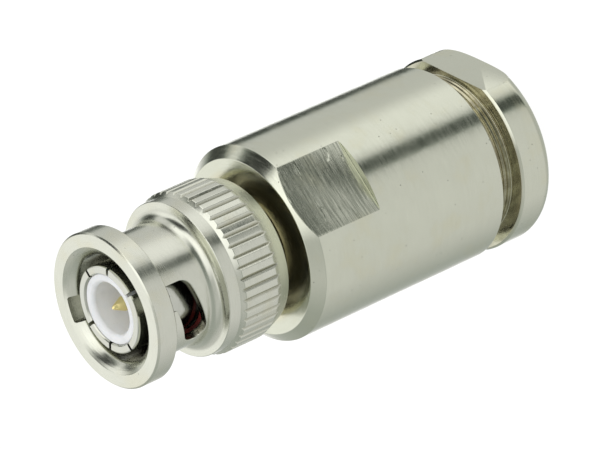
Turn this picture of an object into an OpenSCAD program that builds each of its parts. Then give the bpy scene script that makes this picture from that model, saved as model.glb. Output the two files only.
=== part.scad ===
// Straight bayonet cable plug, clamp type, for thick coaxial cable.
// The axis is Z. The plug stands on the rear face of its clamp nut at z = 0,
// with the mating end up. Depths below are measured back from the mating face.

/* [Overall] */
// Length from the mating face to the nut's rear face
total_length = 44.45; // [44.2:0.05:46]
// Smoothness of round parts
smooth = 96; // [48:24:144]

/* [Bayonet ring] */
// Diameter of the front flange
flange_d = 14.3; // [14.1:0.1:14.6]
// Thickness of the front flange
flange_t = 2.1; // [1.9:0.05:2.2]
// Outside diameter of the slotted barrel
barrel_d = 11.3; // [11.2:0.05:11.6]
// Bore of the ring, over the jack's barrel
ring_bore_d = 9.8; // [9.75:0.01:9.9]
// Mouth of the lead-in chamfer
mouth_d = 11.6; // [11.3:0.1:11.8]
// Width of the bayonet slots
slot_w = 2.36; // [2.2:0.02:2.5]
// Direction of the first stud entry, about the axis
entry_angle = -26; // [-40:1:-10]
// Turn from the entry to the locking end
slot_turn = 40.8; // [36:0.2:50]
// Depth of the slot's centre line at the entry
slot_depth_in = 4.35; // [4.2:0.05:4.5]
// Depth of the slot's centre line at the locking end
slot_depth_out = 5.52; // [5.2:0.02:5.56]

/* [Knurled collar] */
// Diameter over the knurl
knurl_d = 15.06; // [14.8:0.02:15.2]
// Number of straight knurl grooves
knurl_count = 47; // [40:1:52]
// Depth of the knurl grooves
knurl_depth = 0.24; // [0.16:0.02:0.26]
// Turn of the first knurl groove
knurl_phase = -22.65; // [-30:0.05:-15]

/* [Contacts] */
// Outside diameter of the outer contact's fingers
contact_od = 8.06; // [8.0:0.02:8.12]
// Bore inside the fingers
contact_id = 6.5; // [6.4:0.02:6.6]
// Width of the saw cuts between the fingers
slit_w = 0.3; // [0.2:0.05:0.4]
// Turn of each saw cut; each cut makes two slits
slit_angles = [-5.2, 40.8, 87.8];
// Diameter of the centre pin
pin_d = 1.35; // [1.32:0.01:1.37]
// Bore of the front insulator around the pin
dielectric_bore_d = 4.84; // [4.7:0.02:5.0]
// Depth of that bore
dielectric_bore_depth = 5.75; // [5.3:0.05:5.75]

/* [Rear body] */
// Outside diameter of the rear body
body_d = 18.28; // [18.0:0.02:18.4]
// Depth of its front face
body_front = 16.2; // [16.1:0.05:16.4]
// Depth of its rear edge
body_rear = 38.3; // [38:0.05:38.5]
// Size of its front chamfer
body_chamfer = 0.96; // [0.7:0.02:1.1]
// Distance across its wrench flats
body_flats = 16.88; // [16.6:0.02:17.2]
// Depth where the wrench flats end
body_flats_end = 24.3; // [22.5:0.1:24.6]

/* [Clamp nut] */
// Outside diameter of the nut's head
nut_d = 18.4; // [18.2:0.02:18.6]
// Depth of the head's front face
nut_front = 40.55; // [40.4:0.05:40.8]
// Distance across the nut's wrench flats
nut_flats = 16.3; // [16.1:0.02:16.8]
// Direction of the nut's wrench flats, about the axis
nut_flat_angle = 41.5; // [0:0.5:90]
// Bore for the cable
cable_bore_d = 11.0; // [10.9:0.05:11.2]
// Outside diameter of the nut's thread
thread_d = 15.84; // [15.8:0.01:15.9]

/* [Hidden] */
$fn = smooth;
eps = 0.1;

flange_r = flange_d / 2;
barrel_r = barrel_d / 2;
ring_bore_r = ring_bore_d / 2;
mouth_r = mouth_d / 2;
knurl_r = knurl_d / 2;
contact_r = contact_od / 2;
finger_bore_r = contact_id / 2;
body_r = body_d / 2;
nut_r = nut_d / 2;
thread_r = thread_d / 2;
cable_r = cable_bore_d / 2;

// depths inside the coupling ring
cavity_front = 9.0;
cavity_r = 6.25;
ring_rear = 14.9;
groove_front = 13.3;
groove_rear = 13.95;
groove_r = 6.6;
seat_gap = 0.03;
seat_r = 4.21;
shank_front = 5.7;
shank_r = 0.86;

// the spring pack, from the contact's flange back to the snap ring
neck_r = 5.0;
pack_ri = 5.1;
pack_ro = 6.1;
flange_rear = 10.1;
washer_t = 0.27;
front_washer_rear = 10.4;
spacer_front = 11.575;
spacer_rear = 11.825;
rear_washer_front = 13.0;
wave_t = 0.2;

// clamp parts inside the rear body
tail_rear = 21.0;
bore_r = 7.7;
thread_bore_r = 8.0;
cone_front = 22.3;
cone_rear = 25.0;
cone_r = 4.4;
clamp_bore_r = 3.85;
clamp_rear = 28.0;
gasket_front = 28.05;
gasket_rear = 32.5;
slip_front = 32.55;
slip_rear = 33.35;
nut_tip = 33.4;
cable_seal_r = 5.3;

function z(depth) = total_length - depth;
function down(pts) = [for (p = pts) [p[0], z(p[1])]];

// points on a quarter round between two angles; c is [radius, depth]
function arc(c, r, a0, a1, n = 6) =
    [for (i = [0:n]) let (a = a0 + (a1 - a0) * i / n) [c[0] + r * cos(a), c[1] + r * sin(a)]];

// a ring of revolution; points are [radius, depth behind the mating face]
module turned(pts) {
    rotate_extrude() polygon(down(pts));
}

module flat_ring(ri, ro, front, rear) {
    e = min(0.06, (rear - front) / 5);
    turned([
        [ri, front + e], [ri + e, front], [ro - e, front], [ro, front + e],
        [ro, rear - e], [ro - e, rear], [ri + e, rear], [ri, rear - e]
    ]);
}

// a radial drill at one angle and depth
module radial_hole(angle, depth, r, from_r, to_r) {
    rotate([0, 0, angle])
        translate([from_r, 0, z(depth)])
            rotate([0, 90, 0])
                cylinder(r = r, h = to_r - from_r, $fn = 48);
}

// one stud slot: an entry groove under the flange, then the cam slot through the barrel
module bayonet_slot(angle) {
    step = 3.4;
    steps = ceil(slot_turn / step);
    rotate([0, 0, angle]) {
        translate([3.6, -slot_w / 2, z(slot_depth_in)])
            cube([2.0, slot_w, slot_depth_in + eps]);
        translate([3.6, -slot_w / 2, z(slot_depth_in)])
            cube([3.6, slot_w, slot_depth_in - flange_t - 0.35]);
    }
    for (i = [0:steps])
        radial_hole(
            angle - slot_turn * i / steps,
            slot_depth_in + (slot_depth_out - slot_depth_in) * i / steps,
            slot_w / 2, 3.6, 7.2
        );
}

module knurl_groove(angle) {
    s = 1.2;
    rotate([0, 0, angle])
        translate([knurl_r - knurl_depth + s / sqrt(2), 0, z(ring_rear)])
            rotate([0, 0, 45])
                translate([-s / 2, -s / 2, 0])
                    cube([s, s, ring_rear - 8.6]);
}

module coupling_ring() {
    color([0.76, 0.77, 0.72])
    difference() {
        turned(concat(
            [[mouth_r, 0], [flange_r - 0.15, 0], [flange_r, 0.15], [flange_r, flange_t - 0.12],
             [flange_r - 0.12, flange_t], [barrel_r + 0.5, flange_t + 0.1]],
            arc([barrel_r + 0.5, flange_t + 0.6], 0.5, 270, 180),
            arc([barrel_r + 1.0, 6.9], 1.0, 180, 90),
            [[7.1, 7.9], [7.15, 7.95], [7.2, 9.1], [knurl_r, 9.5], [knurl_r, 13.0],
             [6.9, 14.78], [6.78, ring_rear], [cavity_r + 0.1, ring_rear], [cavity_r, ring_rear - 0.1],
             [cavity_r, groove_rear], [groove_r, groove_rear], [groove_r, groove_front],
             [cavity_r, groove_front], [cavity_r, cavity_front], [ring_bore_r, cavity_front],
             [ring_bore_r, mouth_r - ring_bore_r]]
        ));
        for (side = [0, 180]) bayonet_slot(entry_angle + side);
        for (i = [0:knurl_count - 1]) knurl_groove(knurl_phase + i * 360 / knurl_count);
    }
}

module ring_snap_ring() {
    color([0.72, 0.72, 0.70])
    difference() {
        flat_ring(5.3, groove_r - 0.05, groove_front + 0.03, groove_rear - 0.05);
        rotate([0, 0, 120])
            translate([4, -1.1, z(groove_rear + eps)])
                cube([4, 2.2, 1]);
    }
}

module wave_washer(front, rear, turn) {
    n = 72;
    gap = 0.02;
    mid = (front + rear) / 2;
    amp = ((rear - front) - 2 * gap - wave_t) / 2;
    ring = [for (i = [0:n - 1]) let (a = 360 * i / n, h = z(mid) + amp * cos(3 * a))
        [[pack_ri, h - wave_t / 2], [pack_ro, h - wave_t / 2],
         [pack_ro, h + wave_t / 2], [pack_ri, h + wave_t / 2]]];
    pts = [for (i = [0:n - 1], k = [0:3])
        let (a = 360 * i / n) [ring[i][k][0] * cos(a), ring[i][k][0] * sin(a), ring[i][k][1]]];
    faces = [for (i = [0:n - 1], k = [0:3], t = [0, 1])
        let (j = (i + 1) % n, m = (k + 1) % 4)
        t == 0 ? [4 * i + k, 4 * j + k, 4 * j + m] : [4 * i + k, 4 * j + m, 4 * i + m]];
    color([0.70, 0.68, 0.60])
    rotate([0, 0, turn]) polyhedron(points = pts, faces = faces);
}

module rear_flat_washer() {
    color([0.74, 0.74, 0.70])
        flat_ring(pack_ri, pack_ro, rear_washer_front, rear_washer_front + 0.3);
}
module wave_washer_rear() { wave_washer(spacer_rear, rear_washer_front, 60); }
module spacer_washer() {
    color([0.74, 0.74, 0.70])
        flat_ring(pack_ri, pack_ro, spacer_front, spacer_rear);
}
module wave_washer_front() { wave_washer(front_washer_rear, spacer_front, 0); }
module front_flat_washer() {
    color([0.74, 0.74, 0.70])
        flat_ring(pack_ri, pack_ro, front_washer_rear - washer_t, front_washer_rear);
}

module outer_contact() {
    color([0.78, 0.79, 0.74])
    difference() {
        turned([
            [finger_bore_r, 0.5], [finger_bore_r + 0.1, 0.35], [contact_r - 0.14, 0.35],
            [contact_r - 0.04, 0.4], [contact_r, 0.55], [contact_r, 6.95], [seat_r, 6.95], [seat_r, 8.2],
            [4.82, 8.2], [4.82, cavity_front + seat_gap], [pack_ro - 0.06, cavity_front + seat_gap],
            [pack_ro, cavity_front + seat_gap + 0.06], [pack_ro, flange_rear], [neck_r, flange_rear],
            [neck_r, tail_rear - 0.2], [neck_r - 0.2, tail_rear], [3.6, tail_rear],
            [3.6, 10.45], [finger_bore_r, 10.45]
        ]);
        for (a = slit_angles)
            rotate([0, 0, a])
                translate([-4.3, -slit_w / 2, z(5.6)])
                    cube([8.6, slit_w, 5.6]);
    }
}

module interface_gasket() {
    color([0.36, 0.07, 0.07])
    turned(concat(
        [[seat_r + 0.01, 8.18]],
        arc([seat_r + 0.21, 7.2], 0.2, 180, 270),
        arc([4.6, 7.2], 0.2, 270, 360),
        [[4.8, 8.18]]
    ));
}

module front_insulator() {
    b = dielectric_bore_d / 2;
    color([0.93, 0.94, 0.94])
    turned([
        [b + 0.12, 0.5], [3.16, 0.5], [3.24, 0.58], [3.24, 10.4], [1.4, 10.4], [1.4, 8.55],
        [shank_r + 0.02, 8.55], [shank_r + 0.02, dielectric_bore_depth], [b, dielectric_bore_depth], [b, 0.62]
    ]);
}

module center_pin() {
    color([0.93, 0.82, 0.45])
    difference() {
        turned([
            [0, 0.8], [0.1, 0.8], [0.17, 0.86], [pin_d / 2, 1.95], [pin_d / 2, shank_front], [shank_r, shank_front],
            [shank_r, 8.6], [1.35, 8.6], [1.35, 10.6], [2.15, 10.6], [2.2, 10.65], [2.2, 11.85],
            [2.15, 11.9], [1.65, 11.9], [1.65, 25.1], [1.55, 25.2], [1.2, 25.2], [1.15, 25.1],
            [1.15, 20.4], [0, 19.9]
        ]);
        radial_hole(90, 21.0, 0.5, 0.6, 2.4);
    }
}

module rear_insulator() {
    color([0.93, 0.94, 0.94])
        flat_ring(1.67, 3.58, 12.0, 20.9);
}

module rear_body() {
    h = body_flats / 2;
    color([0.74, 0.76, 0.69])
    difference() {
        turned([
            [neck_r + 0.11, body_front], [body_r - body_chamfer, body_front],
            [body_r, body_front + body_chamfer], [body_r, body_rear - 0.12],
            [body_r - 0.12, body_rear], [thread_bore_r + 0.35, body_rear],
            [thread_bore_r, body_rear - 0.35], [thread_bore_r, 30.3], [bore_r, 30.0],
            [bore_r, cone_rear], [cone_r, cone_front], [cone_r, tail_rear + 0.05],
            [neck_r + 0.01, tail_rear + 0.05], [neck_r + 0.01, body_front + 0.1]
        ]);
        for (side = [0, 180])
            rotate([0, 0, side])
                translate([h, -body_r, z(body_flats_end)])
                    cube([body_r, 2 * body_r, body_flats_end - body_front + 1]);
    }
}

module braid_clamp() {
    color([0.72, 0.73, 0.68])
    turned([
        [clamp_bore_r, cone_front + 0.06], [cone_r, cone_front + 0.06],
        [bore_r - 0.05, cone_rear + 0.02], [bore_r - 0.05, clamp_rear], [7.2, clamp_rear],
        [6.6, clamp_rear + 0.7], [6.0, clamp_rear], [clamp_bore_r, clamp_rear]
    ]);
}

module cable_gasket() {
    color([0.10, 0.10, 0.10])
    turned([
        [cable_seal_r, gasket_front], [5.95, gasket_front], [6.6, gasket_front + 0.76],
        [7.25, gasket_front], [bore_r - 0.05, gasket_front],
        [bore_r - 0.05, gasket_rear], [cable_seal_r, gasket_rear]
    ]);
}

module slip_washer() {
    color([0.74, 0.74, 0.70])
        flat_ring(cable_seal_r, 7.6, slip_front, slip_rear);
}

module clamp_nut() {
    h = nut_flats / 2;
    color([0.74, 0.76, 0.69])
    difference() {
        turned(concat(
            [[cable_r, nut_tip + 0.3], [cable_r + 0.3, nut_tip], [thread_r - 0.4, nut_tip],
             [thread_r, nut_tip + 0.4], [thread_r, 39.2], [7.7, 39.42], [7.7, nut_front],
             [nut_r - 0.2, nut_front], [nut_r, nut_front + 0.2]],
            arc([nut_r - 1.25, total_length - 1.25], 1.25, 0, 90, 7),
            [[cable_r + 0.5, total_length], [cable_r, total_length - 0.5]]
        ));
        for (side = [0, 180])
            rotate([0, 0, nut_flat_angle + side])
                translate([h, -nut_r, -1])
                    cube([nut_r, 2 * nut_r, total_length - nut_front + 1]);
    }
}

coupling_ring();
ring_snap_ring();
rear_flat_washer();
wave_washer_rear();
spacer_washer();
wave_washer_front();
front_flat_washer();
outer_contact();
interface_gasket();
front_insulator();
center_pin();
rear_insulator();
rear_body();
braid_clamp();
cable_gasket();
slip_washer();
clamp_nut();
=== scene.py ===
import math

import bpy
import numpy as np
from mathutils import Matrix, Vector


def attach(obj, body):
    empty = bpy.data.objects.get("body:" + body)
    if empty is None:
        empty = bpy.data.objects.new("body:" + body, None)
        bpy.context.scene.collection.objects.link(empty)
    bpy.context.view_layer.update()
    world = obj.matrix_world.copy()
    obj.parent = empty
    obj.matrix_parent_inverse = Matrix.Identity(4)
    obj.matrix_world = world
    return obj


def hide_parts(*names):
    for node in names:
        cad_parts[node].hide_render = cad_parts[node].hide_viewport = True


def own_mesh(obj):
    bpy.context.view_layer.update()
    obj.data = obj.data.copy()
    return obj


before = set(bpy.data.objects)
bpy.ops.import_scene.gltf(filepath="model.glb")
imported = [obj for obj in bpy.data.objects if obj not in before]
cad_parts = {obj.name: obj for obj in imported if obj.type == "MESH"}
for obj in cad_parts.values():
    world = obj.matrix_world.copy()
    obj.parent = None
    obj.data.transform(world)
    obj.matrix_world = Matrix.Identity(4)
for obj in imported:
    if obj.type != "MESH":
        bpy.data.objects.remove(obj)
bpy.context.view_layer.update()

TOP = 44.45          # mm, height of the mating face; t below is the depth behind it
MM = 0.001
rng = np.random.default_rng(7)

# ------------------------------------------------------------------ camera
cam_data = bpy.data.cameras.new("camera")
cam_data.sensor_width = 36.0
cam_data.lens = 276.7
cam_data.clip_start, cam_data.clip_end = 0.02, 50.0
cam = bpy.data.objects.new("camera", cam_data)
bpy.context.scene.collection.objects.link(cam)
cam_x, cam_y, cam_z = (0.41938, -0.51036, -0.75077), (0.42035, 0.84218, -0.33770), (0.80463, -0.17396, 0.56772)
cam.matrix_world = Matrix((
    (cam_x[0], cam_y[0], cam_z[0], 0.32716),
    (cam_x[1], cam_y[1], cam_z[1], -0.07077),
    (cam_x[2], cam_y[2], cam_z[2], 0.25316),
    (0, 0, 0, 1)))
bpy.context.scene.camera = cam
view = bpy.context.scene.view_settings
view.view_transform, view.look, view.exposure, view.gamma = "Standard", "None", 0.0, 1.0


# ------------------------------------------------------------------ profiles
def arc(cr, ct, radius, a0, a1, steps=8):
    """Points of an arc in the (r, t) plane; angle 0 points to larger r and 90 to larger t. Not rounded again."""
    return [(cr + radius * math.cos(math.radians(a0 + (a1 - a0) * i / steps)),
             ct + radius * math.sin(math.radians(a0 + (a1 - a0) * i / steps)), 0.0) for i in range(steps + 1)]


def soften(points, radius=0.05, step=22.0, closed=True):
    """Rounds each corner of a profile of (r, t) or (r, t, radius)."""
    out, n = [], len(points)
    for i, q in enumerate(points):
        p = np.array(q[:2], float)
        want = q[2] if len(q) > 2 else radius
        if want <= 0 or (not closed and i in (0, n - 1)):
            out.append(tuple(p))
            continue
        a, b = np.array(points[i - 1][:2], float), np.array(points[(i + 1) % n][:2], float)
        la, lb = np.linalg.norm(a - p), np.linalg.norm(b - p)
        ua, ub = (a - p) / la, (b - p) / lb
        inner = math.acos(float(np.clip(ua @ ub, -1, 1)))
        turn = math.pi - inner
        if turn < math.radians(7):
            out.append(tuple(p))
            continue
        d = min(want / math.tan(inner / 2), 0.42 * la, 0.42 * lb)
        rr = d * math.tan(inner / 2)
        mid = (ua + ub) / np.linalg.norm(ua + ub)
        c = p + mid * rr / math.sin(inner / 2)
        s, e = p + ua * d - c, p + ub * d - c
        a0, a1 = math.atan2(s[1], s[0]), math.atan2(e[1], e[0])
        sweep = (a1 - a0 + math.pi) % (2 * math.pi) - math.pi
        k = max(2, math.ceil(math.degrees(turn) / step))
        out += [(c[0] + rr * math.cos(a0 + sweep * j / k), c[1] + rr * math.sin(a0 + sweep * j / k)) for j in range(k + 1)]
    return out


def fill(points, longest=1.6, support=0.06, closed=True):
    """Adds rows near both ends of a long straight stretch and along it, so that smooth shading stays on the corners."""
    out, n = [], len(points)
    for i in range(n):
        p = np.array(points[i])
        out.append(tuple(p))
        if i == n - 1 and not closed:
            break
        q = np.array(points[(i + 1) % n])
        length = np.linalg.norm(q - p)
        if length > 3 * support:
            k = max(1, math.ceil((length - 2 * support) / longest))
            for j in range(k + 1):
                out.append(tuple(p + (q - p) * (support + (length - 2 * support) * j / k) / length))
    return out


# ------------------------------------------------------------------ meshes
def new_object(name, verts, faces):
    mesh = bpy.data.meshes.new(name)
    mesh.from_pydata([tuple(v) for v in verts], [], faces)
    mesh.validate(verbose=False)
    mesh.update()
    obj = bpy.data.objects.new(name, mesh)
    bpy.context.scene.collection.objects.link(obj)
    return obj


def revolve(name, R, T, phi, poles=False):
    """A closed tube of profile rows (R, T: rows x columns, in mm) round the axis at the angles phi. With poles the first and last row lie on the axis."""
    rows, cols = R.shape
    x, y, z = R * np.cos(phi) * MM, R * np.sin(phi) * MM, (TOP - T) * MM
    verts = np.stack([x, y, z], -1).reshape(-1, 3)
    i, j = np.meshgrid(np.arange(rows if not poles else rows - 1), np.arange(cols), indexing="ij")
    i2, j2 = (i + 1) % rows, (j + 1) % cols
    quads = np.stack([i * cols + j, i2 * cols + j, i2 * cols + j2, i * cols + j2], -1).reshape(-1, 4)
    faces = quads.tolist()
    if poles:
        top, bottom = len(verts), len(verts) + 1
        faces = [f for f in faces if min(f) >= cols and max(f) < (rows - 1) * cols]
        verts = np.vstack([verts[cols:(rows - 1) * cols], [[0, 0, (TOP - T[0, 0]) * MM], [0, 0, (TOP - T[-1, 0]) * MM]]])
        faces = [[v - cols for v in f] for f in faces]
        count = (rows - 2) * cols
        faces += [[count, j, (j + 1) % cols] for j in range(cols)]
        base = (rows - 3) * cols
        faces += [[count + 1, base + (j + 1) % cols, base + j] for j in range(cols)]
    return new_object(name, verts, faces)


def lathe(name, points, columns=360, radius=0.05, longest=1.6, poles=False, offset=0.0):
    rows = fill(soften(points, radius, closed=not poles), longest, closed=not poles)
    phi = np.arange(columns) * 2 * math.pi / columns + offset
    R = np.repeat(np.array([p[0] for p in rows])[:, None], columns, 1)
    T = np.repeat(np.array([p[1] for p in rows])[:, None], columns, 1)
    return revolve(name, R, T, phi, poles)


def loft(name, loops):
    """A closed solid through loops of equal point counts (mm), capped at both ends."""
    n = len(loops[0])
    verts = np.concatenate([np.array(l) for l in loops]) * MM
    faces = [[i * n + j, i * n + (j + 1) % n, (i + 1) * n + (j + 1) % n, (i + 1) * n + j]
             for i in range(len(loops) - 1) for j in range(n)]
    faces.append(list(range(n))[::-1])
    faces.append([(len(loops) - 1) * n + j for j in range(n)])
    obj = new_object(name, verts, faces)
    flip_outward(obj)
    return obj


def flip_outward(obj):
    me = obj.data
    volume = 0.0
    for p in me.polygons:
        v = [me.vertices[k].co for k in p.vertices]
        for k in range(1, len(v) - 1):
            volume += v[0].dot(v[k].cross(v[k + 1]))
    if volume < 0:
        me.flip_normals()


def cut(obj, *cutters):
    for c in cutters:
        mod = obj.modifiers.new("cut", "BOOLEAN")
        mod.operation, mod.solver, mod.object = "DIFFERENCE", "MANIFOLD", c
        dg = bpy.context.evaluated_depsgraph_get()
        dg.update()
        made = bpy.data.meshes.new_from_object(obj.evaluated_get(dg))
        obj.modifiers.remove(mod)
        old = obj.data
        obj.data = made
        bpy.data.meshes.remove(old)
        bpy.data.objects.remove(c)
    return obj


def smooth(obj, angle=32.0):
    me = obj.data
    me.polygons.foreach_set("use_smooth", [True] * len(me.polygons))
    me.set_sharp_from_angle(angle=math.radians(angle))
    me.update()
    return obj


# ------------------------------------------------------------------ node helpers
class Nodes:
    """Short spellings for one material's node tree."""

    def __init__(self, name):
        self.mat = bpy.data.materials.new(name)
        self.mat.use_nodes = True
        self.tree = self.mat.node_tree
        self.tree.nodes.clear()
        self.out = self.tree.nodes.new("ShaderNodeOutputMaterial")
        self.bsdf = self.tree.nodes.new("ShaderNodeBsdfPrincipled")
        self.tree.links.new(self.bsdf.outputs[0], self.out.inputs[0])

    def add(self, kind, **props):
        node = self.tree.nodes.new(kind)
        for k, v in props.items():
            setattr(node, k, v)
        return node

    def set(self, socket, value):
        if hasattr(value, "is_output"):
            self.tree.links.new(value, socket)
        else:
            socket.default_value = value

    def math(self, op, a, b=0.0, c=0.0, clamp=False):
        node = self.add("ShaderNodeMath", operation=op, use_clamp=clamp)
        for s, v in zip(node.inputs, (a, b, c)):
            self.set(s, v)
        return node.outputs[0]

    def step(self, x, lo, hi, a=0.0, b=1.0):
        """a below lo, b above hi, smooth between."""
        node = self.add("ShaderNodeMapRange", interpolation_type="SMOOTHSTEP")
        for s, v in zip(node.inputs, (x, lo, hi, a, b)):
            self.set(s, v)
        return node.outputs[0]

    def mix(self, f, a, b, blend="MIX"):
        node = self.add("ShaderNodeMix", data_type="RGBA", blend_type=blend)
        self.set(node.inputs[0], f)
        self.set(node.inputs[6], (*a, 1) if isinstance(a, tuple) and len(a) == 3 else a)
        self.set(node.inputs[7], (*b, 1) if isinstance(b, tuple) and len(b) == 3 else b)
        return node.outputs[2]

    def noise(self, vector, scale=1.0, detail=2.0, rough=0.5, w=None):
        node = self.add("ShaderNodeTexNoise", noise_dimensions="4D" if w is not None else "3D")
        self.set(node.inputs["Vector"], vector)
        node.inputs["Scale"].default_value = scale
        node.inputs["Detail"].default_value = detail
        node.inputs["Roughness"].default_value = rough
        if w is not None:
            self.set(node.inputs["W"], w)
        return node.outputs[0]

    def spots(self, vector, scale, size, share):
        """1 in small round spots, in a share of the cells."""
        node = self.add("ShaderNodeTexVoronoi", voronoi_dimensions="3D", feature="F1")
        self.set(node.inputs["Vector"], vector)
        node.inputs["Scale"].default_value = scale
        near = self.step(node.outputs["Distance"], size * 0.4, size, 1.0, 0.0)
        pick = self.add("ShaderNodeSeparateColor")
        self.tree.links.new(node.outputs["Color"], pick.inputs[0])
        return self.math("MULTIPLY", near, self.math("LESS_THAN", pick.outputs[0], share))

    def combine(self, x, y, z):
        node = self.add("ShaderNodeCombineXYZ")
        for s, v in zip(node.inputs, (x, y, z)):
            self.set(s, v)
        return node.outputs[0]

    def coords(self):
        """Object position in mm: vector, x, y, z, radius, cosine and sine of the angle round the axis, depth t."""
        tex = self.add("ShaderNodeTexCoord")
        mm = self.add("ShaderNodeVectorMath", operation="SCALE")
        self.tree.links.new(tex.outputs["Object"], mm.inputs[0])
        mm.inputs["Scale"].default_value = 1000.0
        split = self.add("ShaderNodeSeparateXYZ")
        self.tree.links.new(mm.outputs[0], split.inputs[0])
        x, y, z = split.outputs
        r = self.math("SQRT", self.math("ADD", self.math("MULTIPLY", x, x), self.math("MULTIPLY", y, y)))
        rs = self.math("MAXIMUM", r, 0.05)
        return dict(p=mm.outputs[0], x=x, y=y, z=z, r=r, c=self.math("DIVIDE", x, rs), s=self.math("DIVIDE", y, rs),
                    t=self.math("SUBTRACT", TOP, z))

    def rings(self, q, per_mm, turns=1.0, detail=2.0, rough=0.5):
        """Noise that runs round the axis as turning marks do: per_mm bands a mm along and across, changing slowly round the circle."""
        v = self.combine(self.math("MULTIPLY", q["r"], per_mm), self.math("MULTIPLY", q["c"], turns), self.math("MULTIPLY", q["s"], turns))
        return self.noise(v, 1.0, detail, rough, w=self.math("MULTIPLY", q["z"], per_mm))

    def bump(self, *layers):
        """Each layer is (height socket, distance in mm, strength)."""
        normal = None
        for height, distance, strength in layers:
            node = self.add("ShaderNodeBump")
            node.inputs["Strength"].default_value = strength
            node.inputs["Distance"].default_value = distance * MM
            self.set(node.inputs["Height"], height)
            if normal is not None:
                self.tree.links.new(normal, node.inputs["Normal"])
            normal = node.outputs[0]
        self.tree.links.new(normal, self.bsdf.inputs["Normal"])


def nickel(name, base=(0.665, 0.68, 0.565), rough=(0.16, 0.30), fine=1.0, coarse=1.0, pits=0.5, extra=None):
    """Turned, nickel plated brass. extra(nodes, coords, colour, roughness) may add to it and return new ones plus bump layers."""
    m = Nodes(name)
    q = m.coords()
    b = m.bsdf
    b.inputs["Metallic"].default_value = 1.0
    fine_n = m.rings(q, 7.0, 1.6, 3.0, 0.6)
    coarse_n = m.rings(q, 1.5, 0.9, 1.0)
    arcs = m.rings(q, 9.0, 7.0, 1.0)
    cloud = m.noise(q["p"], 0.35, 3.0, 0.55)
    peel = m.noise(q["p"], 1.6, 1.0)
    dots = m.spots(q["p"], 1.7, 0.13, 0.35 * pits)
    # colour: slow clouds, faint ring-to-ring changes, darker pits
    shade = m.math("ADD", m.math("MULTIPLY", cloud, 0.10), m.math("MULTIPLY", fine_n, 0.07))
    colour = m.mix(shade, base, tuple(0.25 * v for v in base))
    colour = m.mix(m.step(cloud, 0.5, 0.75, 0.0, 0.35), colour, (base[0] * 0.98, base[1] * 0.93, base[2] * 0.80))
    colour = m.mix(m.math("MULTIPLY", dots, 0.55), colour, (0.12, 0.12, 0.09))
    spread = m.math("ADD", m.math("MULTIPLY", arcs, 0.55), m.math("MULTIPLY", cloud, 0.45))
    roughness = m.step(spread, 0.28, 0.72, rough[0], rough[1])
    layers = [(peel, 0.004, 0.8), (coarse_n, 0.012 * coarse, 0.8), (fine_n, 0.0035 * fine, 0.8), (arcs, 0.0012 * fine, 0.8),
              (m.math("MULTIPLY", dots, -1.0), 0.012, 0.7)]
    if extra:
        colour, roughness, more = extra(m, q, colour, roughness)
        layers += more
    m.set(b.inputs["Base Color"], colour)
    m.set(b.inputs["Roughness"], roughness)
    m.bump(*layers)
    return m.mat


# ------------------------------------------------------------------ materials
def ring_extra(m, q, colour, roughness):
    # darker, brassy colour inside the ring, in the slots' depth and on the rear face's inner edge
    inside = m.math("MULTIPLY", m.step(q["r"], 5.45, 5.62, 1.0, 0.0), m.step(q["t"], 1.2, 2.4))
    colour = m.mix(m.math("MULTIPLY", inside, 0.75), colour, (0.17, 0.16, 0.11))
    # painted shade: the ring's bore wall behind the flange, seen through the slots, is painted near-black where it lies
    # in shadow
    deep = m.math("MULTIPLY", m.step(q["r"], 5.0, 5.1, 1.0, 0.0), m.step(q["t"], 3.0, 5.0))
    colour = m.mix(m.math("MULTIPLY", deep, 0.85), colour, (0.02, 0.018, 0.015))
    # knurl: slightly rubbed lands, darker valleys
    knurl = m.math("MULTIPLY", m.step(q["t"], 9.3, 9.6), m.step(q["t"], 13.6, 13.2))
    valley = m.math("MULTIPLY", knurl, m.step(q["r"], 7.36, 7.50, 1.0, 0.0))
    colour = m.mix(m.math("MULTIPLY", valley, 0.55), colour, (0.30, 0.29, 0.20))
    wear = m.noise(q["p"], 2.4, 2.0)
    roughness = m.math("ADD", roughness, m.math("MULTIPLY", knurl, m.step(wear, 0.4, 0.7, 0.0, 0.07)))
    return colour, roughness, []


def body_extra(m, q, colour, roughness):
    # milled flats: lines across the axis, of uneven depth, with a few deep gouges
    flat = m.math("MULTIPLY", m.step(m.math("ABSOLUTE", q["x"]), 8.41, 8.425), m.step(q["t"], 24.28, 24.2))
    across = m.math("ADD", q["z"], m.math("MULTIPLY", m.math("MULTIPLY", q["y"], q["y"]), 0.012))
    lines = m.noise(m.combine(m.math("MULTIPLY", q["y"], 0.30), 0.0, 0.0), 1.0, 3.0, 0.65, w=m.math("MULTIPLY", across, 5.5))
    gouges = m.noise(m.combine(m.math("MULTIPLY", q["y"], 0.55), 3.0, 0.0), 1.0, 1.0, 0.5, w=m.math("MULTIPLY", across, 1.7))
    deep = m.step(gouges, 0.62, 0.72)
    colour = m.mix(m.math("MULTIPLY", flat, m.step(lines, 0.35, 0.68, 0.65, 0.0)), colour, (0.14, 0.16, 0.12))
    roughness = m.math("ADD", roughness, m.math("MULTIPLY", flat, 0.08))
    # brassy film in the neck and inside the rear mouth
    neck = m.step(q["r"], 6.4, 7.4, 1.0, 0.0)
    colour = m.mix(m.math("MULTIPLY", neck, 0.55), colour, (0.62, 0.57, 0.38))
    mouth = m.math("MULTIPLY", m.step(q["r"], 8.1, 8.3, 1.0, 0.0), m.step(q["t"], 30.0, 31.0))
    colour = m.mix(m.math("MULTIPLY", mouth, 0.7), colour, (0.40, 0.37, 0.22))
    return colour, roughness, [(m.math("MULTIPLY", flat, lines), 0.035, 1.0),
                               (m.math("MULTIPLY", flat, m.math("MULTIPLY", deep, -1.0)), 0.05, 1.0)]


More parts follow.
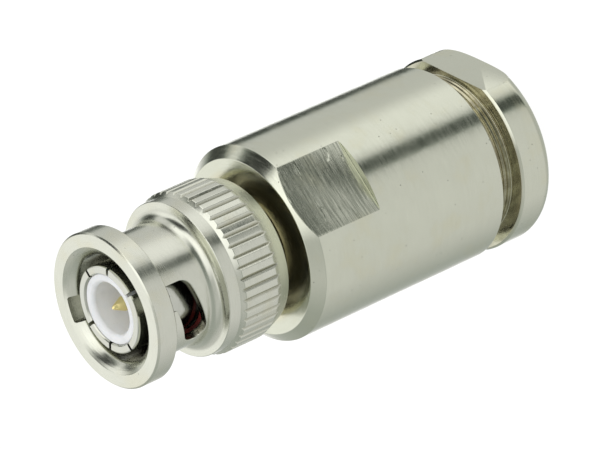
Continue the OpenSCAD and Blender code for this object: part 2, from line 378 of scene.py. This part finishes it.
def nut_extra(m, q, colour, roughness):
    # the thread and its run-out hold a brown-green film
    thread = m.math("MULTIPLY", m.step(q["t"], 40.7, 40.4), m.step(q["r"], 7.2, 7.3))
    stain = m.noise(q["p"], 0.9, 3.0, 0.6)
    film = m.mix(m.step(stain, 0.35, 0.65), (0.52, 0.48, 0.32), (0.26, 0.22, 0.13))
    colour = m.mix(m.math("MULTIPLY", thread, 0.8), colour, film)
    roughness = m.math("ADD", roughness, m.math("MULTIPLY", thread, 0.10))
    bore = m.step(q["r"], 5.7, 6.0, 1.0, 0.0)
    colour = m.mix(m.math("MULTIPLY", bore, 0.4), colour, (0.36, 0.33, 0.20))
    # milled flats: fine lines along the tangent
    side = m.math("ABSOLUTE", m.math("ADD", m.math("MULTIPLY", q["x"], math.cos(math.radians(41.5))), m.math("MULTIPLY", q["y"], math.sin(math.radians(41.5)))))
    flat = m.math("MULTIPLY", m.step(side, 8.12, 8.135), m.step(q["t"], 40.7, 40.9))
    lines = m.noise(m.combine(m.math("MULTIPLY", q["r"], 0.4), 0.0, 0.0), 1.0, 3.0, 0.6, w=m.math("MULTIPLY", q["z"], 6.0))
    return colour, roughness, [(m.math("MULTIPLY", flat, lines), 0.008, 0.8)]


def contact_extra(m, q, colour, roughness):
    # the rear neck is brassy and dull
    neck = m.step(q["t"], 10.4, 12.0)
    colour = m.mix(m.math("MULTIPLY", neck, 0.75), colour, (0.50, 0.45, 0.28))
    # painted shade: the contact from just before the gasket back to the neck is painted near-black, where it lies in
    # shadow behind the slots
    painted_shade = m.math("MULTIPLY", m.step(q["t"], 6.2, 7.0), m.step(q["t"], 10.4, 9.8))
    colour = m.mix(m.math("MULTIPLY", painted_shade, 0.9), colour, (0.02, 0.018, 0.015))
    return colour, roughness, []


MAT = {
    "ring": nickel("ring_nickel", base=(0.70, 0.71, 0.615), rough=(0.19, 0.29), fine=0.7, coarse=0.7, pits=0.2, extra=ring_extra),
    "body": nickel("body_nickel", rough=(0.13, 0.26), fine=0.8, coarse=0.8, pits=0.6, extra=body_extra),
    "nut": nickel("nut_nickel", rough=(0.08, 0.20), fine=0.7, coarse=0.7, pits=0.6, extra=nut_extra),
    "contact": nickel("contact_nickel", base=(0.62, 0.63, 0.56), rough=(0.12, 0.22), fine=0.7, coarse=0.5, pits=0.4, extra=contact_extra),
    "washer": nickel("washer_nickel", base=(0.62, 0.62, 0.54), rough=(0.22, 0.36), fine=1.3, coarse=0.6, pits=0.7),
    "steel": nickel("spring_steel", base=(0.52, 0.52, 0.50), rough=(0.25, 0.40), fine=1.0, coarse=0.5, pits=0.6),
    "bronze": nickel("spring_bronze", base=(0.60, 0.44, 0.22), rough=(0.22, 0.36), fine=1.0, coarse=0.5, pits=0.6),
    "gold": nickel("gold_plate", base=(1.0, 0.86, 0.40), rough=(0.10, 0.18), fine=0.5, coarse=0.3, pits=0.2),
}


def soft_material(name, base, second, rough, grain, grain_depth, ring_depth, subsurface=0.0, spots=0.0, spot_colour=(0.05, 0.05, 0.05), specular=0.5):
    """A plastic or rubber: cloudy colour, fine grain, faint turning or mould marks, a few specks."""
    m = Nodes(name)
    q = m.coords()
    b = m.bsdf
    cloud = m.noise(q["p"], 0.8, 3.0, 0.6)
    marks = m.rings(q, 4.0, 1.2, 2.0)
    fine = m.noise(q["p"], grain, 2.0, 0.6)
    colour = m.mix(m.step(cloud, 0.35, 0.68), base, second)
    colour = m.mix(m.math("MULTIPLY", marks, 0.12), colour, tuple(v * 0.6 for v in base))
    if spots:
        colour = m.mix(m.math("MULTIPLY", m.spots(q["p"], 2.2, 0.12, spots), 0.6), colour, spot_colour)
    m.set(b.inputs["Base Color"], colour)
    m.set(b.inputs["Roughness"], m.step(fine, 0.3, 0.7, rough[0], rough[1]))
    b.inputs["Specular IOR Level"].default_value = specular
    if subsurface:
        b.inputs["Subsurface Weight"].default_value = subsurface
        b.inputs["Subsurface Radius"].default_value = (1.0, 0.9, 0.8)
        b.inputs["Subsurface Scale"].default_value = 0.0004
    m.bump((fine, grain_depth, 0.8), (marks, ring_depth, 0.8))
    return m.mat


MAT["white"] = soft_material("white_dielectric", (0.93, 0.94, 0.95), (0.87, 0.88, 0.89), (0.32, 0.48), 6.0, 0.003, 0.006, subsurface=0.25, spots=0.12, spot_colour=(0.45, 0.43, 0.38))
MAT["red"] = soft_material("red_silicone", (0.21, 0.024, 0.020), (0.15, 0.018, 0.016), (0.35, 0.55), 7.0, 0.004, 0.003, subsurface=0.1, spots=0.10, spot_colour=(0.30, 0.12, 0.10))
MAT["black"] = soft_material("black_rubber", (0.020, 0.020, 0.021), (0.032, 0.031, 0.030), (0.45, 0.65), 6.0, 0.006, 0.003, spots=0.15, spot_colour=(0.12, 0.11, 0.10))


def dress(obj, mat, body, slot, *nodes):
    """A finished replacement piece: material, body, slot (not used) and the CAD nodes that it stands for."""
    obj.data.materials.clear()
    obj.data.materials.append(MAT[mat])
    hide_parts(*nodes)
    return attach(obj, body)


# ------------------------------------------------------------------ coupling ring
KNURLS, PHASE = 47, math.radians(-22.65)
offsets = np.array([-0.30, -0.262, -0.235, -0.19, -0.06, 0.0, 0.06, 0.19, 0.235, 0.262, 0.30, 0.5034])
phi_ring = np.concatenate([PHASE + k * 2 * math.pi / KNURLS + offsets / 7.53 for k in range(KNURLS)])
off = np.tile(offsets, KNURLS)


def smooth_max(a, b, k):
    h = np.clip(0.5 + 0.5 * (a - b) / k, 0, 1)
    return b + (a - b) * h + k * h * (1 - h)


groove = smooth_max(0.24 - np.sqrt(off ** 2 + 0.03 ** 2), 0.0, 0.08) - 0.02 * np.exp(-(off / 0.32) ** 8)
groove = np.maximum(groove, 0.0)
# a little unevenness from one ridge to the next, as a knurling wheel leaves
groove = groove * np.repeat(1.0 + 0.04 * rng.standard_normal(KNURLS), len(offsets)).clip(0.9, 1.0)

front = fill(soften(
    [(4.9, 0.96), (4.96, 0.83, 0), (5.05, 0.69, 0), (5.18, 0.53, 0), (5.34, 0.36, 0), (5.53, 0.20, 0), (5.68, 0.10, 0), (5.8, 0.03, 0), (5.84, 0.0, 0), (7.0, 0.0, 0.04), (7.15, 0.15, 0.04), (7.15, 1.98, 0.04), (7.03, 2.1, 0.03)]
    + arc(6.15, 2.6, 0.5, 270, 180, 8) + arc(6.65, 6.9, 1.0, 180, 90, 12)
    + [(7.1, 7.9, 0.03), (7.15, 7.95, 0.03), (7.2, 9.1, 0.03), (7.53, 9.5)], 0.05, closed=False)[:-1], 1.4, closed=False)
rows_R = [np.full(off.shape, p[0]) for p in front]
rows_T = [np.full(off.shape, p[1]) for p in front]
ridge = 7.53 - groove
rise = 0.33 / 0.40                                 # slope of the front chamfer
t_in = 9.1 + (ridge - 7.2) / rise                  # where the front chamfer meets the ridges
fall = 0.63 / 1.78                                 # slope of the rear chamfer
t_out = 13.0 + (7.53 - ridge) / fall
for d in (-0.05, -0.02):
    rows_R.append(ridge + d * rise)
    rows_T.append(t_in + d)
for d in (0.02, 0.08):
    rows_R.append(ridge)
    rows_T.append(t_in + d)
for f in (0.25, 0.5, 0.75):
    rows_R.append(ridge)
    rows_T.append(t_in + (t_out - t_in) * f)
for d in (-0.10, -0.03):
    rows_R.append(ridge)
    rows_T.append(t_out + d)
for d in (0.03, 0.12):
    rows_R.append(ridge - d * fall)
    rows_T.append(t_out + d)
for t in (14.0, 14.4, 14.68):
    rows_R.append(np.full(off.shape, 7.53 - (t - 13.0) * fall))
    rows_T.append(np.full(off.shape, t))
inner = fill(soften(
    [(6.935, 14.68), (6.9, 14.78, 0.04), (6.78, 14.9, 0.04), (6.35, 14.9, 0.03), (6.25, 14.8, 0.03), (6.25, 13.95, 0.02), (6.6, 13.95, 0.02),
     (6.6, 13.3, 0.02), (6.25, 13.3, 0.02), (6.25, 9.0, 0.08), (4.9, 9.0, 0.04), (4.9, 0.96)], 0.05, closed=False)[1:-1], 1.6, closed=False)
rows_R += [np.full(off.shape, p[0]) for p in inner]
rows_T += [np.full(off.shape, p[1]) for p in inner]
ring = revolve("coupling_ring_detail", np.array(rows_R), np.array(rows_T), phi_ring)


def slot_loops(theta0):
    """The bayonet window and cam slot: an outline of (centre angle, offset, t) carried out along r, with a flared edge at the barrel's surface."""
    th1, wide, c, ref = theta0 - math.radians(40.8), 1.18, 0.07, 5.65
    t0, t1 = 4.35, 5.52
    pts = []                                        # (centre angle, y, t), anticlockwise seen from outside with phi to the right
    pts += [(theta0, -wide + 0.0, 3.40)]
    pts += [(theta0, -wide, 2.62), (theta0, -wide + 0.05, 2.50), (theta0, -wide + 0.17, 2.45), (theta0, 0.0, 2.45), (theta0, wide - 0.17, 2.45), (theta0, wide - 0.05, 2.50), (theta0, wide, 2.62)]
    pts += [(theta0, wide, 3.5)]
    pts += [(theta0, wide * math.cos(a), t0 + wide * math.sin(a)) for a in np.radians([0, 12, 24, 36, 48, 60, 70])]
    slope = math.atan2(t1 - t0, ref * math.radians(40.8))
    n = (math.sin(slope), math.cos(slope))          # rear side normal in (phi-length, t), the slot going to smaller phi
    for f in np.linspace(0.04, 1.0, 26):
        th = theta0 + (th1 - theta0) * f
        tc = t0 + (t1 - t0) * f
        pts.append((th, wide * n[0], tc + wide * n[1]))
    start = math.atan2(n[1], n[0])
    for a in np.linspace(start, start + math.pi, 20)[1:]:
        pts.append((th1, wide * math.cos(a), t1 + wide * math.sin(a)))
    # front wall back to the entry column, ending in a small round corner
    stop = 1.0 - (wide * 1.03) / (ref * math.radians(40.8)) - 0.03
    for f in np.linspace(0.04, stop, 18):
        th = th1 + (theta0 - th1) * f
        tc = t1 + (t0 - t1) * f
        pts.append((th, -wide * n[0], tc - wide * n[1]))
    loops = []
    centre = np.array([p[0] for p in pts])
    yy = np.array([p[1] for p in pts])
    tt = np.array([p[2] for p in pts])
    flat = np.stack([centre * ref + yy, tt], 1)
    nxt, prv = np.roll(flat, -1, 0), np.roll(flat, 1, 0)
    d = nxt - prv
    d /= np.linalg.norm(d, axis=1)[:, None]
    normal = np.stack([d[:, 1], -d[:, 0]], 1)
    area = 0.5 * np.sum(flat[:, 0] * nxt[:, 1] - nxt[:, 0] * flat[:, 1])
    if area < 0:
        normal = -normal
    steps = [(3.6, 0.0), (4.6, 0.0), (ref - c, 0.0)]
    steps += [(ref - c + c * math.sin(a), c * (1 - math.cos(a))) for a in np.radians([22.5, 45, 67.5, 90])]
    steps += [(ref + 0.3, c), (7.2, c)]
    for r, o in steps:
        ang = centre + np.arcsin((yy + normal[:, 0] * o) / r)
        loops.append(np.stack([r * np.cos(ang), r * np.sin(ang), TOP - (tt + normal[:, 1] * o)], 1))
    return loops


def notch_loops(theta0):
    """The entry notch inside the flange, open to the front, with its front edge broken."""
    loops, c = [], 0.07
    steps = [(-0.2, c), (0.0, c)] + [(c * math.sin(a), c * (1 - math.sin(a))) for a in np.radians([30, 60, 90])] + [(4.35, 0.0)]
    for t, o in steps:
        w, ro = 1.18 + o, 5.6 + o
        a = math.asin(w / ro)
        xy = [(3.6, -w)]
        k = 0.12
        xy += [(math.sqrt((ro - k) ** 2 - w * w), -w)]
        xy += [(ro * math.cos(b), ro * math.sin(b)) for b in np.linspace(-a + k / ro, a - k / ro, 15)]
        xy += [(math.sqrt((ro - k) ** 2 - w * w), w), (3.6, w)]
        loops.append([(x * math.cos(theta0) - y * math.sin(theta0), x * math.sin(theta0) + y * math.cos(theta0), TOP - t) for x, y in xy])
    return loops


for side in (-26.0, 154.0):
    cut(ring, loft("cut_a", slot_loops(math.radians(side))))
    cut(ring, loft("cut_b", notch_loops(math.radians(side))))
smooth(ring, 30)
dress(ring, "ring", "ring", "ring_nickel", "coupling_ring")

# ------------------------------------------------------------------ outer contact with its sprung fingers
contact = lathe("outer_contact_detail", [
    (3.25, 0.5, 0.04), (3.35, 0.35, 0.04), (3.89, 0.35, 0.05), (3.99, 0.4, 0.04), (4.03, 0.55, 0.04), (4.03, 6.95, 0.02), (4.21, 6.95, 0.02), (4.21, 8.2, 0.02),
    (4.82, 8.2, 0.02), (4.82, 9.03, 0.02), (6.04, 9.03), (6.1, 9.09), (6.1, 10.1, 0.04), (5.0, 10.1, 0.08), (5.0, 20.8), (4.8, 21.0), (3.6, 21.0, 0.04),
    (3.6, 10.45, 0.03), (3.25, 10.45, 0.03)], 300)
for a in (-5.2, 40.8, 87.8):
    w = 0.15
    half = [(0.0, w), (3.19, w), (3.25, w + 0.05), (3.27, w + 0.02), (3.33, w), (3.96, w), (4.01, w + 0.02), (4.04, w + 0.05), (4.10, w + 0.09), (4.3, w + 0.09)]
    half[1:3] = [(3.15, w + 0.05), (3.25, w + 0.05)]
    out = half + [(x, -y) for x, y in half[::-1]][:-1] + [(-x, -y) for x, y in half[1:]] + [(-x, y) for x, y in half[::-1]][:-1]
    out = [p for i, p in enumerate(out) if p != out[i - 1]]
    ca, sa = math.cos(math.radians(a)), math.sin(math.radians(a))
    loops = [[(x * ca - y * sa, x * sa + y * ca, TOP - t) for x, y in out] for t in (0.0, 0.3, 5.5, 5.6)]
    cut(contact, loft("cut_c", loops))
smooth(contact, 30)
dress(contact, "contact", "plug", "contact_nickel", "outer_contact")

# ------------------------------------------------------------------ insulators, gasket, pin
gasket = lathe("interface_gasket_detail", [
    (4.22, 7.0, 0.08), (4.8, 7.0, 0.12), (4.8, 8.15, 0.06), (4.22, 8.15, 0.06)], 180)
smooth(gasket, 50)
dress(gasket, "red", "plug", "red_silicone", "interface_gasket")

insulator = lathe("front_insulator_detail", [
    (3.16, 0.5, 0.06), (3.24, 0.58, 0.05), (3.24, 10.4), (1.4, 10.4), (1.4, 8.55, 0.03), (0.88, 8.55, 0.02), (0.88, 5.75, 0.03), (2.42, 5.75, 0.12)] + arc(2.80, 0.90, 0.40, 162, 262, 12), 240)
smooth(insulator, 40)
dress(insulator, "white", "plug", "white_dielectric", "front_insulator")

pin = lathe("center_pin_detail", [
    (0.0, 0.8, 0), (0.1, 0.8, 0.03), (0.17, 0.86, 0.03), (0.675, 1.95, 0.10), (0.675, 5.7, 0.02), (0.86, 5.7, 0.03), (0.86, 8.6, 0.02), (1.35, 8.6, 0.04), (1.35, 10.6, 0.03), (2.15, 10.6, 0.03), (2.2, 10.65, 0.02),
    (2.2, 11.85, 0.02), (2.15, 11.9, 0.03), (1.65, 11.9, 0.03), (1.65, 25.1, 0.04), (1.55, 25.2, 0.04), (1.2, 25.2, 0.02), (1.15, 25.1, 0.02), (1.15, 20.4, 0.05), (0.0, 19.9, 0)], 96, poles=True)
hole = [[(0.5 * math.cos(b), 0.0 + d, TOP - 21 + 0.5 * math.sin(b)) for b in np.linspace(0, 2 * math.pi, 25)[:-1]] for d in (0.0, 2.2)]
cut(pin, loft("cut_d", hole))
smooth(pin, 35)
dress(pin, "gold", "plug", "gold_plate", "center_pin")

# ------------------------------------------------------------------ rear body with its two flats
body = lathe("rear_body_detail", [
    (5.11, 16.2, 0.04), (8.18, 16.2, 0.06), (9.14, 17.16, 0.06), (9.14, 38.18, 0.04), (9.02, 38.3, 0.04), (8.35, 38.3, 0.05), (8.0, 37.95, 0.05), (8.0, 30.3), (7.7, 30.0),
    (7.7, 25.0), (4.4, 22.3), (4.4, 21.05, 0.03), (5.01, 21.05, 0.03), (5.01, 16.3, 0.03)], 480)
for s in (1, -1):
    xs = (8.44, 9.6)
    box = [[(s * x, y, TOP - t) for y, t in ((-5, 15.0), (5, 15.0), (5, 24.18), (4.9, 24.3), (-4.9, 24.3), (-5, 24.18))] for x in xs]
    cut(body, loft("cut_e", box))
smooth(body, 28)
dress(body, "body", "plug", "body_nickel", "rear_body")

# ------------------------------------------------------------------ clamp nut with its thread
rows = fill(soften([
    (5.5, 33.7, 0.03), (5.8, 33.4, 0.03), (7.52, 33.4, 0.03), (7.92, 33.8, 0.03), (7.92, 39.2, 0.0), (7.7, 39.42, 0.0), (7.7, 40.55, 0.10), (9.0, 40.55, 0.04), (9.2, 40.75, 0.04)]
    + arc(7.95, 43.2, 1.25, 0, 90, 14) + [(6.0, 44.45, 0.04), (5.5, 43.95, 0.05)]), 1.4)
dense = []
for p, q in zip(rows, rows[1:] + rows[:1]):
    dense.append(p)
    if abs(p[0] - q[0]) < 1e-6 and abs(p[0] - 7.7) < 1e-6:
        k = max(1, round(abs(q[1] - p[1]) * 18))
        dense += [(7.7, p[1] + (q[1] - p[1]) * j / k) for j in range(1, k)]
    if abs(p[0] - q[0]) < 1e-6 and p[0] == 7.92:
        k = max(1, round(abs(q[1] - p[1]) * 18))
        dense += [(7.92, p[1] + (q[1] - p[1]) * j / k) for j in range(1, k)]
columns = 240
phi_nut = np.arange(columns) * 2 * math.pi / columns
R = np.repeat(np.array([p[0] for p in dense])[:, None], columns, 1)
T = np.repeat(np.array([p[1] for p in dense])[:, None], columns, 1)
u = ((TOP - T) / 1.0 - phi_nut / (2 * math.pi)) % 1.0
tooth = np.clip((np.abs(2 * u - 1) - 0.10) / 0.78, 0, 1)
fade = np.clip((T - 33.85) / 0.35, 0, 1) * np.clip((39.15 - T) / 0.30, 0, 1)
outer = R > 7.6
R = R - np.where(outer & (T < 39.2), 0.50 * tooth * fade, 0.0)
R = R - np.where(outer & (T > 39.5) & (T < 40.4), 0.035 * (1 - np.cos(2 * math.pi * (T - 39.5) / 0.45)), 0.0)
nut = revolve("clamp_nut_detail", R, T, phi_nut)
for s in (41.5, 221.5):
    c_, s_ = math.cos(math.radians(s)), math.sin(math.radians(s))
    box = [[(x * c_ - y * s_, x * s_ + y * c_, TOP - t) for y, t in ((-6, 40.45), (6, 40.45), (6, 45), (-6, 45))] for x in (8.15, 9.6)]
    cut(nut, loft("cut_f", box))
smooth(nut, 30)
dress(nut, "nut", "nut", "body_nickel", "clamp_nut")


# ------------------------------------------------------------------ wave washers
def wave(name, t_front, t_rear, turn):
    """A three-wave spring washer with rounded edges."""
    columns = 216
    phi = np.arange(columns) * 2 * math.pi / columns
    amp = ((t_rear - t_front) - 0.04 - 0.2) / 2
    mid = (t_front + t_rear) / 2
    profile = fill(soften([(5.1, -0.1), (6.1, -0.1), (6.1, 0.1), (5.1, 0.1)], 0.04), 0.5, 0.03)
    R = np.repeat(np.array([p[0] for p in profile])[:, None], columns, 1)
    dt = np.array([p[1] for p in profile])[:, None]
    T = mid - amp * np.cos(3 * (phi - math.radians(turn)))[None, :] + dt
    return revolve(name, R, T, phi)


wave_f = smooth(wave("wave_washer_front_detail", 10.4, 11.575, 0), 50)
dress(wave_f, "bronze", "plug", "spring_bronze", "wave_washer_front")
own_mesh(wave_f)
wave_r = smooth(wave("wave_washer_rear_detail", 11.825, 13.0, 60), 50)
dress(wave_r, "bronze", "spring_spacer", "spring_bronze", "wave_washer_rear")
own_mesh(wave_r)

# ------------------------------------------------------------------ carried-over nodes
for node, mat in (("ring_snap_ring", "steel"), ("rear_flat_washer", "washer"), ("spacer_washer", "washer"), ("front_flat_washer", "washer"),
                  ("rear_insulator", "white"), ("braid_clamp", "bronze"), ("cable_gasket", "black"), ("slip_washer", "washer")):
    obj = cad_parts[node]
    if not obj.material_slots:
        obj.data.materials.append(MAT[mat])
    for s in obj.material_slots:
        s.material = MAT[mat]

# ------------------------------------------------------------------ floor
# It lies 5 mm under the standing face, because the unscrewed nut moves down that far.
floor = new_object("floor", [(-12, -12, -0.005), (12, -12, -0.005), (12, 12, -0.005), (-12, 12, -0.005)], [[0, 1, 2, 3]])
fm = Nodes("floor_pale")
fm.bsdf.inputs["Base Color"].default_value = (0.16, 0.16, 0.16, 1)
fm.bsdf.inputs["Roughness"].default_value = 1.0
fm.bsdf.inputs["Specular IOR Level"].default_value = 0.0
fm.bsdf.inputs["Emission Color"].default_value = (1, 1, 1, 1)
fm.bsdf.inputs["Emission Strength"].default_value = 0.95
floor.data.materials.append(fm.mat)
for kind in ("visible_diffuse", "visible_glossy", "visible_transmission", "visible_volume_scatter", "visible_shadow"):
    setattr(floor, kind, False)

# ------------------------------------------------------------------ light
# A soft studio tent: its brightness depends on the direction only. Azimuth 0 is +X.
world = bpy.data.worlds.new("studio")
bpy.context.scene.world = world
world.use_nodes = True
wt = world.node_tree
wt.nodes.clear()


class World(Nodes):
    def __init__(self):
        self.tree = wt


w = World()
tex = w.add("ShaderNodeTexCoord")
sep = w.add("ShaderNodeSeparateXYZ")
wt.links.new(tex.outputs["Generated"], sep.inputs[0])
dx, dy, dz = sep.outputs
azimuth = w.math("ARCTAN2", dy, dx)
turn = w.math("MULTIPLY_ADD", azimuth, 1 / (2 * math.pi), 0.5)       # 0 at -180 degrees, 1 at 180
elev = w.math("MULTIPLY", w.math("ARCSINE", dz), 180 / math.pi)


def band(stops):
    """Brightness round the horizon from (azimuth in degrees, value) pairs."""
    node = w.add("ShaderNodeValToRGB")
    ramp = node.color_ramp
    ramp.interpolation = "LINEAR"
    while len(ramp.elements) > 1:
        ramp.elements.remove(ramp.elements[-1])
    for i, (a, v) in enumerate(stops):
        e = ramp.elements[0] if i == 0 else ramp.elements.new((a + 180) / 360)
        e.position = (a + 180) / 360
        e.color = (v / 2, v / 2, v / 2, 1)
    wt.links.new(turn, node.inputs[0])
    return w.math("MULTIPLY", node.outputs[0], 2.0)


low = band([(-180, 0.95), (-168, 0.52), (-150, 0.48), (-125, 0.64), (-100, 0.80), (-50, 0.84), (-8, 0.82), (5, 0.74), (10, 0.09), (22, 0.08),
            (27, 0.85), (36, 1.10), (64, 1.10), (76, 0.84), (84, 0.72), (122, 0.68), (129, 0.08), (145, 0.06), (151, 1.30), (170, 1.30), (180, 1.0)])
mid = band([(-180, 0.60), (-150, 0.48), (-100, 0.46), (-60, 0.48), (-40, 0.42), (10, 0.13), (24, 0.10), (34, 0.85), (52, 1.45), (70, 1.45),
            (84, 0.60), (94, 0.85), (112, 0.85), (119, 0.05), (136, 0.04), (146, 0.80), (156, 1.0), (180, 0.80)])
high = band([(-180, 0.75), (-150, 0.66), (-125, 0.50), (-90, 0.70), (-40, 0.60), (-15, 1.30), (30, 1.60), (42, 1.50), (62, 1.50), (66, 0.03),
             (101, 0.02), (106, 1.30), (128, 1.20), (145, 0.95), (160, 1.15), (172, 1.20), (180, 0.95)])


def lerp(f, a, b):
    node = w.add("ShaderNodeMix")
    for s, v in zip((node.inputs[0], node.inputs[2], node.inputs[3]), (f, a, b)):
        w.set(s, v)
    return node.outputs[0]


level = lerp(w.step(elev, -25, -8), low, mid)
level = lerp(w.step(elev, 12, 28), level, high)
level = lerp(w.step(elev, 56, 72), level, 1.25)
level = lerp(w.step(elev, -66, -46), 0.62, level)
# darker parts of the tent are a little greener
dark = w.step(level, 0.1, 0.8, 1.0, 0.0)
tint = w.mix(dark, (1.0, 1.0, 1.0), (0.90, 1.03, 0.92))
background = w.add("ShaderNodeBackground")
wt.links.new(tint, background.inputs["Color"])
wt.links.new(level, background.inputs["Strength"])
plain = w.add("ShaderNodeBackground")
plain.inputs["Color"].default_value = (1, 1, 1, 1)
plain.inputs["Strength"].default_value = 1.0
path = w.add("ShaderNodeLightPath")
pick = w.add("ShaderNodeMixShader")
wt.links.new(path.outputs["Is Camera Ray"], pick.inputs[0])
wt.links.new(background.outputs[0], pick.inputs[1])
wt.links.new(plain.outputs[0], pick.inputs[2])
wout = w.add("ShaderNodeOutputWorld")
wt.links.new(pick.outputs[0], wout.inputs[0])
world.cycles.sampling_method = "MANUAL"
world.cycles.sample_map_resolution = 1024
